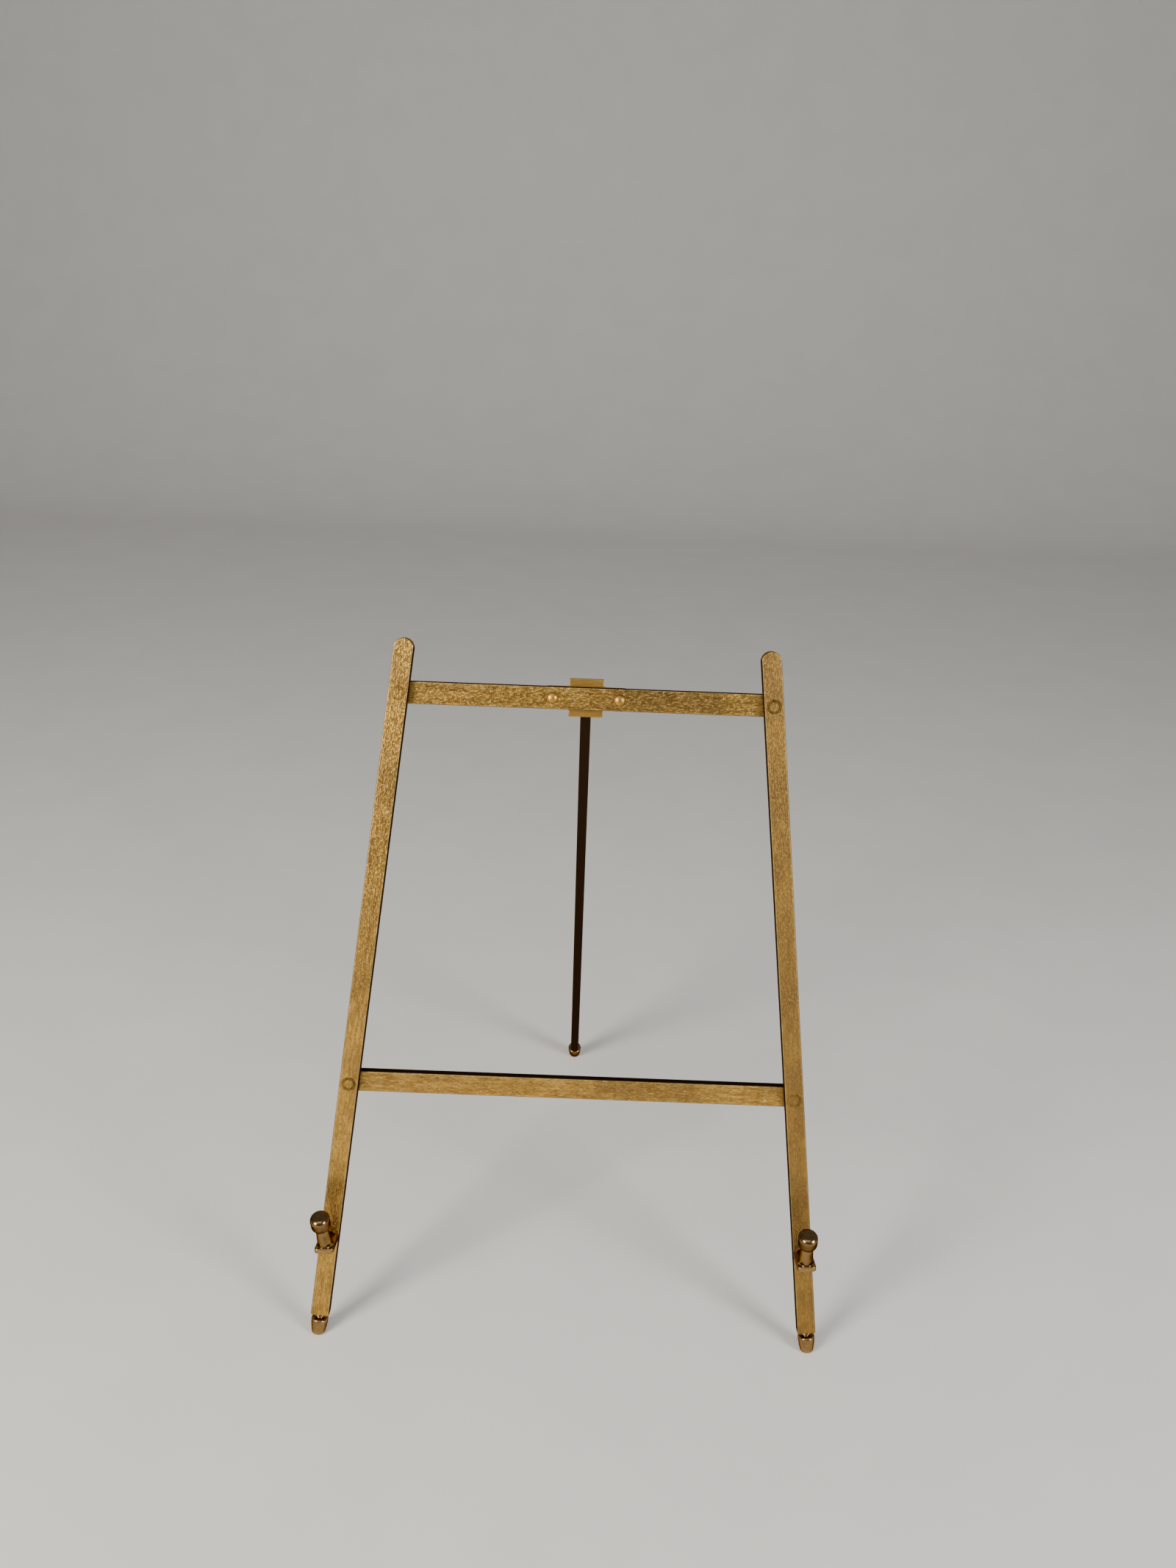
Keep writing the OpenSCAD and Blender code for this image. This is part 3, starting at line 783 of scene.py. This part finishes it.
class PLATESTAND_OT_feet(bpy.types.Operator):
    """Feet: small turned barrels on thin necks, with a worn spot where they stand"""

    bl_idname = "plate_stand.feet"
    bl_label = "Feet"

    def execute(self, context):
        shape = in_mm(context.scene.plate_stand_shape)
        look = context.scene.plate_stand_metal
        finish = polished_brass("foot_brass", look.foot_gold, look.foot_brown)
        wheres = [(f"{side}_foot", leg_place(side), "front_frame", f"{side}_leg") for side in SIDES]
        wheres.append(("rear_foot", prop_place(), "rear_prop", "rear_leg"))
        for node, place, body, leg in wheres:
            leg_low, leg_high = extent(leg, place)
            axis = Vector(((leg_low.x + leg_high.x) / 2, (leg_low.y + leg_high.y) / 2, 0))
            here = place @ Matrix.Translation(axis * MM)
            mesh = foot_shape(here, extent(node, here), leg_low.z, shape)
            assemble(f"{node}_turning", [mesh], here, finish, body, "turned_polished", node)
        return {"FINISHED"}


def post_profile(shape, head_r, head_z):
    """(radius, height, level) points of a post. Level is 0 where it follows the sloping arm."""
    post_r, low_r, fillet = shape.post_radius, shape.post_low_radius, shape.neck_fillet
    edge, half, flare = shape.head_edge, shape.head_half, shape.flare_height
    inner = head_r - edge
    turn = math.acos((post_r + fillet - inner) / (edge + fillet))
    meet = head_z - half + edge - (edge + fillet) * math.sin(turn)
    degrees = math.degrees(turn)
    profile = []
    for i in range(11):
        up = i / 10
        profile.append((low_r + shape.flare_out * (1 - up) ** FLARE_CURVE, flare * up, up))
    for i in range(1, 8):
        up = i / 8
        profile.append((low_r + (post_r - low_r) * up, flare + (meet - flare) * up, 1.0))
    head = arc((post_r + fillet, meet), fillet, 180, 180 - degrees, 6)
    head += arc((inner, head_z - half + edge), edge, -degrees, 0, 14)[1:]
    head += arc((inner, head_z + half - edge), edge, 0, 84, 18)
    for i in range(7):
        up = i / 6
        height = head_z + half - shape.head_crown * (1 - math.sin(math.pi / 2 * up))
        head.append((inner * (1 - up), height))
    return profile + [(radius, height, 1.0) for radius, height in head]


def post_shape(shape, head_r, head_z):
    """A hook post: its flared base follows the arm's top, and its head is round-edged."""
    work = bmesh.new()
    rings = []
    slope = math.tan(shape.post_lean)
    for radius, height, level in post_profile(shape, head_r, head_z):
        if radius < ON_AXIS:
            rings.append([work.verts.new((0, 0, height))])
            continue
        circle = ring(radius, steps=shape.turns)
        rings.append([work.verts.new((x, y, height - y * slope * (1 - level))) for x, y in circle])
    join_rings(work, rings, shape.turns)
    return finished_mesh(work)


class PLATESTAND_OT_hooks(bpy.types.Operator):
    """Hooks: flat arms on swivel shanks, round posts with heads, and burrs behind the legs"""

    bl_idname = "plate_stand.hooks"
    bl_label = "Hooks"

    def execute(self, context):
        shape = in_mm(context.scene.plate_stand_shape)
        look = context.scene.plate_stand_metal
        brass = (look.hook_gold, look.hook_brown)
        arm_finish = polished_brass("hook_arm_brass", *brass, ring_axis=0)
        # The posts' heads are darkened from 9.5 mm up: a painted dark reflection.
        post_finish = polished_brass("hook_post_brass", *brass, painted_dark_top_from=9.5)
        burr_finish = rivet_brass("burr_brass")
        for side in SIDES:
            place = hook_place(side)
            seat = place.inverted() @ Vector(MOUNTS[f"{side}_rim_seat"]["pos_m"])
            arm_top = seat.z / MM
            self.arm(side, place, shape, arm_finish, arm_top)
            self.post(side, place, shape, post_finish, arm_top)
            self.burr(side, place, shape, burr_finish)
        return {"FINISHED"}

    def arm(self, side, place, shape, finish, arm_top):
        """The arm, with the collar that bears on the leg and the shank that goes through it."""
        node = f"{side}_hook_arm"
        low, high = extent(node, place)
        half_w, corner, gap = high.x, shape.arm_corner, shape.arm_gap
        outline = arc((half_w - corner, low.y + corner), corner, -90, 0, 10)
        outline += [(half_w, -gap), (-half_w, -gap)]
        outline += arc((corner - half_w, low.y + corner), corner, 180, 270, 10)
        arm = plate(outline, -arm_top, arm_top, shape.arm_edge)
        root, ease = -0.3, 0.1
        collar_r, collar_end = shape.collar_radius, shape.collar_depth
        collar = [(0, root), (collar_r, root), (collar_r, collar_end), (0, collar_end)]
        shank_r, end = shape.shank_radius, high.y
        shank = [(0, root), (shank_r, root), (shank_r, end - ease), (shank_r - 2 * ease, end), (0, end)]
        parts = [arm, turned(collar, ALONG_Y, shape.turns), turned(shank, ALONG_Y, shape.turns)]
        assemble(f"{node}_bar", parts, place, finish, f"{side}_hook", "turned_polished", node)

    def post(self, side, place, shape, finish, arm_top):
        """The post and its head, on the arm's top face, leaning away from the plate."""
        node = f"{side}_hook_post"
        low, high = extent(node, place)
        head_r = (high.x - low.x) / 2
        lean, edge = shape.post_lean, shape.head_edge
        inner, straight = head_r - edge, shape.head_half - edge
        head_y = low.y + inner * math.cos(lean) + straight * math.sin(lean) + edge
        head_z = high.z - inner * math.sin(lean) - straight * math.cos(lean) - edge
        rise = head_z - arm_top
        foot = Vector((0, head_y + rise * math.tan(lean), arm_top))
        here = place @ Matrix.Translation(foot * MM) @ Matrix.Rotation(lean, 4, "X")
        mesh = post_shape(shape, head_r, rise / math.cos(lean))
        assemble(f"{node}_turning", [mesh], here, finish, f"{side}_hook", "turned_polished", node)

    def burr(self, side, place, shape, finish):
        """The burr that holds the shank, filed to a low cone with a hammered end."""
        node = f"{side}_hook_burr"
        low, high = extent(node, place)
        inner, outer, r = low.y, high.y, (high.x - low.x) / 2
        ease, rim, draft = 0.08, 0.35, 0.10
        cone, land = 0.42, 0.60
        groove, end_r = 0.12, r / 2
        wall = [(0, inner), (r - ease, inner), (r, inner + ease), (r - draft, inner + rim)]
        face = [(r - cone, outer - groove), (r - land, outer - ease / 2)]
        face += [(end_r * 1.2, outer - ease / 4), (end_r * 1.1, outer - groove)]
        end = [(end_r, outer - ease / 2), (end_r / 2, outer), (0, outer)]
        burr = turned(wall + face + end, ALONG_Y, shape.turns)
        assemble(f"{node}_filed", [burr], place, finish, f"{side}_hook", "rivet_brass", node)


class PLATESTAND_OT_hinge(bpy.types.Operator):
    """Hinge: bracket with two ears, its rivets, the pin and two washers"""

    bl_idname = "plate_stand.hinge"
    bl_label = "Hinge"

    def execute(self, context):
        shape = in_mm(context.scene.plate_stand_shape)
        place = panel_place()
        self.bracket(shape, place)
        finish = rivet_brass("hinge_rivet_brass")
        self.rivets(shape, place, finish)
        self.pin(shape, place, finish)
        self.washers(shape, place, finish)
        return {"FINISHED"}

    def bracket(self, shape, place):
        """One casting: a winged back plate and the two ears that carry the pin."""
        low, high = extent("hinge_bracket", place)
        bar_low, bar_high = extent("upper_crossbar", place)
        sheet, edge, step = shape.bracket_sheet, shape.sheet_edge, shape.bracket_fillet
        plate_back, ear_r = low.y + sheet, high.y
        ear_inner = extent("hinge_washers", place)[1].x
        middle = ear_inner + sheet + shape.bracket_shoulder
        wing = (bar_high.z - bar_low.z) / 2
        right = [(middle, -high.z), (middle, -wing - step)]
        right += arc((middle + step, -wing - step), step, 180, 90, 6)[1:]
        right += arc((high.x - wing, 0), wing, -90, 90, 24)
        right += arc((middle + step, wing + step), step, -90, -180, 6)
        right += [(middle, high.z)]
        left = [(-x, y) for x, y in reversed(right)]
        rivet_x = extent("hinge_bracket_rivets", place)[1].x - shape.bracket_rivet_head
        holes = [ring(shape.bracket_rivet - shape.pin_play, (x, 0)) for x in (-rivet_x, rivet_x)]
        parts = [plate(right + left, -plate_back, -low.y, edge, holes, FLAT_XZ)]
        root = plate_back - sheet / 2
        ear = arc((0, 0), ear_r, -90, 90, 32) + [(root, ear_r), (root, -ear_r)]
        pin_hole = ring(shape.pin_radius + shape.pin_play)
        for start in (-ear_inner - sheet, ear_inner):
            parts.append(plate(ear, start, start + sheet, edge, [pin_hole], FLAT_YZ))
        finish = satin_brass("bracket_brass")
        name = "hinge_bracket_casting"
        assemble(name, parts, place, finish, "front_frame", "bracket_brass", "hinge_bracket")

    def rivets(self, shape, place, finish):
        """The bracket's two rivets, domed at both ends."""
        low, high = extent("hinge_bracket_rivets", place)
        bar_front = extent("upper_crossbar", place)[0].y
        plate_back = extent("hinge_bracket", place)[0].y + shape.bracket_sheet
        head, shank_r = shape.bracket_rivet_head, shape.bracket_rivet
        front = dome_profile(head, bar_front - low.y, 0)
        profile = [(radius, bar_front - rise) for radius, rise in reversed(front)]
        profile += [(shank_r, bar_front), (shank_r, plate_back)]
        profile += dome_profile(head, high.y - plate_back, plate_back)
        parts = []
        for x in (head - high.x, high.x - head):
            parts.append(turned(profile, Matrix.Translation((x, 0, 0)) @ ALONG_Y, shape.turns))
        name = "hinge_bracket_rivets_set"
        assemble(name, parts, place, finish, "front_frame", "rivet_brass", "hinge_bracket_rivets")

    def pin(self, shape, place, finish):
        """The hinge pin, with a domed head outside each ear."""
        high = extent("hinge_pin", place)[1]
        ear_outer = extent("hinge_washers", place)[1].x + shape.bracket_sheet
        ease, rim = shape.pin_ease, high.z - shape.pin_ease
        half = [(shape.pin_radius, ear_outer), (rim, ear_outer), (high.z, ear_outer + ease)]
        half += dome_profile(rim, high.x - ear_outer - 2 * ease, ear_outer + 2 * ease)
        profile = [(radius, -x) for radius, x in reversed(half)] + half
        pin = turned(profile, ALONG_X, shape.turns)
        assemble("hinge_pin_set", [pin], place, finish, "front_frame", "rivet_brass", "hinge_pin")

    def washers(self, shape, place, finish):
        """Thin washers between the rear leg and the ears."""
        high = extent("hinge_washers", place)[1]
        thick = shape.washer_sheet
        hole = ring(shape.pin_radius + shape.pin_play)
        parts = []
        for start in (high.x - thick, -high.x):
            parts.append(plate(ring(high.z, steps=64), start, start + thick, thick / 5, [hole], FLAT_YZ))
        assemble("hinge_washers_pair", parts, place, finish, "front_frame", "rivet_brass", "hinge_washers")


class PLATESTAND_OT_rear_leg(bpy.types.Operator):
    """Rear leg: a bar on edge, with a heel filed to stop against the bracket"""

    bl_idname = "plate_stand.rear_leg"
    bl_label = "Rear leg"

    def execute(self, context):
        shape = in_mm(context.scene.plate_stand_shape)
        place = prop_place()
        low, high = extent("rear_leg", place)
        stop = extent("rear_leg", panel_place())[0].y
        opened = math.radians(-JOINTS["rear_prop_fold"]["range_deg"][0])
        width = high.y - low.y
        outline = bar_outline(width, low.z, shape.heel_rise, shape.bar_corner)
        outline = keep_side(outline, (math.cos(opened), -math.sin(opened)), stop)
        pin_hole = ring(shape.pin_radius + shape.pin_play)
        body = plate(outline, low.x, high.x, shape.bar_edge, [pin_hole], FLAT_YZ)
        finish = brushed_brass("rear_leg_brass", 2, 1, width / 2)
        assemble("rear_leg_bar", [body], place, finish, "rear_prop", "brushed_bar", "rear_leg")
        return {"FINISHED"}


# ---- Stage ----


class PLATESTAND_OT_stage(bpy.types.Operator):
    """Pale floor that curves up behind, soft side lights, and the camera"""

    bl_idname = "plate_stand.stage"
    bl_label = "Floor, light and camera"

    def execute(self, context):
        stage = context.scene.plate_stand_stage
        self.floor(stage)
        self.soft_light("left_soft", (-0.62, -0.62, 0.46), (0.30, 0.46), stage.left_power, WARM)
        self.soft_light("right_soft", (0.66, -0.55, 0.42), (0.26, 0.46), stage.right_power, COOL)
        self.soft_light("top_soft", (-0.15, -0.75, 1.35), (1.0, 0.7), stage.top_power, MILD)
        self.air(context, stage)
        self.camera(context, stage)
        return {"FINISHED"}

    def floor(self, stage):
        """One sheet: level under the stand, and curved up into a backdrop."""
        half, near = stage.floor_half, 0.4
        back, bend, top, steps = 1.1, 0.45, 2.2, 15
        path = [(-half, 0.0), (-near, 0.0), (near, 0.0), (back, 0.0)]
        for i in range(1, steps + 1):
            turn = math.pi / 2 * i / steps
            path.append((back + bend * math.sin(turn), bend * (1 - math.cos(turn))))
        path.append((back + bend, top))
        work = bmesh.new()
        rows = [[work.verts.new((x, y, z)) for x in (-half, 0.0, half)] for y, z in path]
        for nearer, farther in zip(rows, rows[1:]):
            for i in range(2):
                work.faces.new((nearer[i], nearer[i + 1], farther[i + 1], farther[i]))
        mesh = finished_mesh(work)
        mesh.materials.append(pale_stage("pale_floor", stage.floor_shade))
        mesh.shade_smooth()
        floor = bpy.data.objects.new("pale_floor", mesh)
        bpy.context.scene.collection.objects.link(floor)

    def soft_light(self, name, where, spread, watts, shade):
        """A rectangular soft light that faces the stand's hooks."""
        lamp = bpy.data.lights.new(name, "AREA")
        lamp.shape = "RECTANGLE"
        lamp.size, lamp.size_y = spread
        lamp.energy = watts
        lamp.color = shade
        light = bpy.data.objects.new(name, lamp)
        light.location = where
        light.rotation_mode = "QUATERNION"
        light.rotation_quaternion = (HOOKS_MIDDLE - Vector(where)).to_track_quat("-Z", "Y")
        bpy.context.scene.collection.objects.link(light)

    def air(self, context, stage):
        """Even light from all round."""
        world = bpy.data.worlds.new("soft_air")
        world.use_nodes = True
        sky = world.node_tree.nodes["Background"]
        sky.inputs["Color"].default_value = colour(stage.air)
        sky.inputs["Strength"].default_value = 1.0
        context.scene.world = world

    def camera(self, context, stage):
        """The camera, looking down at the stand from the front."""
        pitch, roll = stage.camera_pitch, stage.camera_roll
        ahead = Vector((0, math.cos(pitch), -math.sin(pitch)))
        right = Vector((1, 0, 0))
        up = right.cross(ahead)
        across = right * math.cos(roll) + up * math.sin(roll)
        above = up * math.cos(roll) - right * math.sin(roll)
        lens = bpy.data.cameras.new("front_camera")
        lens.lens = stage.lens
        lens.sensor_width = 36.0
        lens.sensor_fit = "AUTO"
        lens.clip_start = 0.01
        lens.clip_end = 20.0
        camera = bpy.data.objects.new("front_camera", lens)
        turn = Matrix((across, above, -ahead)).transposed().to_4x4()
        camera.matrix_world = Matrix.Translation(Vector(stage.camera_place)) @ turn
        context.scene.collection.objects.link(camera)
        context.scene.camera = camera


PIECES = (
    PLATESTAND_OT_legs,
    PLATESTAND_OT_crossbars,
    PLATESTAND_OT_frame_rivets,
    PLATESTAND_OT_feet,
    PLATESTAND_OT_hooks,
    PLATESTAND_OT_hinge,
    PLATESTAND_OT_rear_leg,
    PLATESTAND_OT_stage,
)


class PLATESTAND_PT_panel(bpy.types.Panel):
    """The stand's pieces, and the sizes and colours that they use"""

    bl_idname = "PLATESTAND_PT_panel"
    bl_label = "Plate Stand"
    bl_space_type = "VIEW_3D"
    bl_region_type = "UI"
    bl_category = "Plate Stand"

    def draw(self, context):
        layout = self.layout
        for piece in PIECES:
            layout.operator(piece.bl_idname)
        for group in (
            context.scene.plate_stand_shape,
            context.scene.plate_stand_metal,
            context.scene.plate_stand_stage,
        ):
            box = layout.box()
            for name in group.bl_rna.properties.keys():
                if name not in ("rna_type", "name"):
                    box.prop(group, name)


CLASSES = (
    PLATESTAND_PG_shape,
    PLATESTAND_PG_metal,
    PLATESTAND_PG_stage,
    *PIECES,
    PLATESTAND_PT_panel,
)


def register():
    """Adds the classes and the scene's settings."""
    for each in CLASSES:
        bpy.utils.register_class(each)
    bpy.types.Scene.plate_stand_shape = PointerProperty(type=PLATESTAND_PG_shape)
    bpy.types.Scene.plate_stand_metal = PointerProperty(type=PLATESTAND_PG_metal)
    bpy.types.Scene.plate_stand_stage = PointerProperty(type=PLATESTAND_PG_stage)


def unregister():
    """Takes them away again."""
    del bpy.types.Scene.plate_stand_stage
    del bpy.types.Scene.plate_stand_metal
    del bpy.types.Scene.plate_stand_shape
    for each in reversed(CLASSES):
        bpy.utils.unregister_class(each)


def main():
    """Builds every piece and the stage."""
    register()
    bpy.ops.plate_stand.legs()
    bpy.ops.plate_stand.crossbars()
    bpy.ops.plate_stand.frame_rivets()
    bpy.ops.plate_stand.feet()
    bpy.ops.plate_stand.hooks()
    bpy.ops.plate_stand.hinge()
    bpy.ops.plate_stand.rear_leg()
    bpy.ops.plate_stand.stage()


if __name__ == "__main__":
    main()
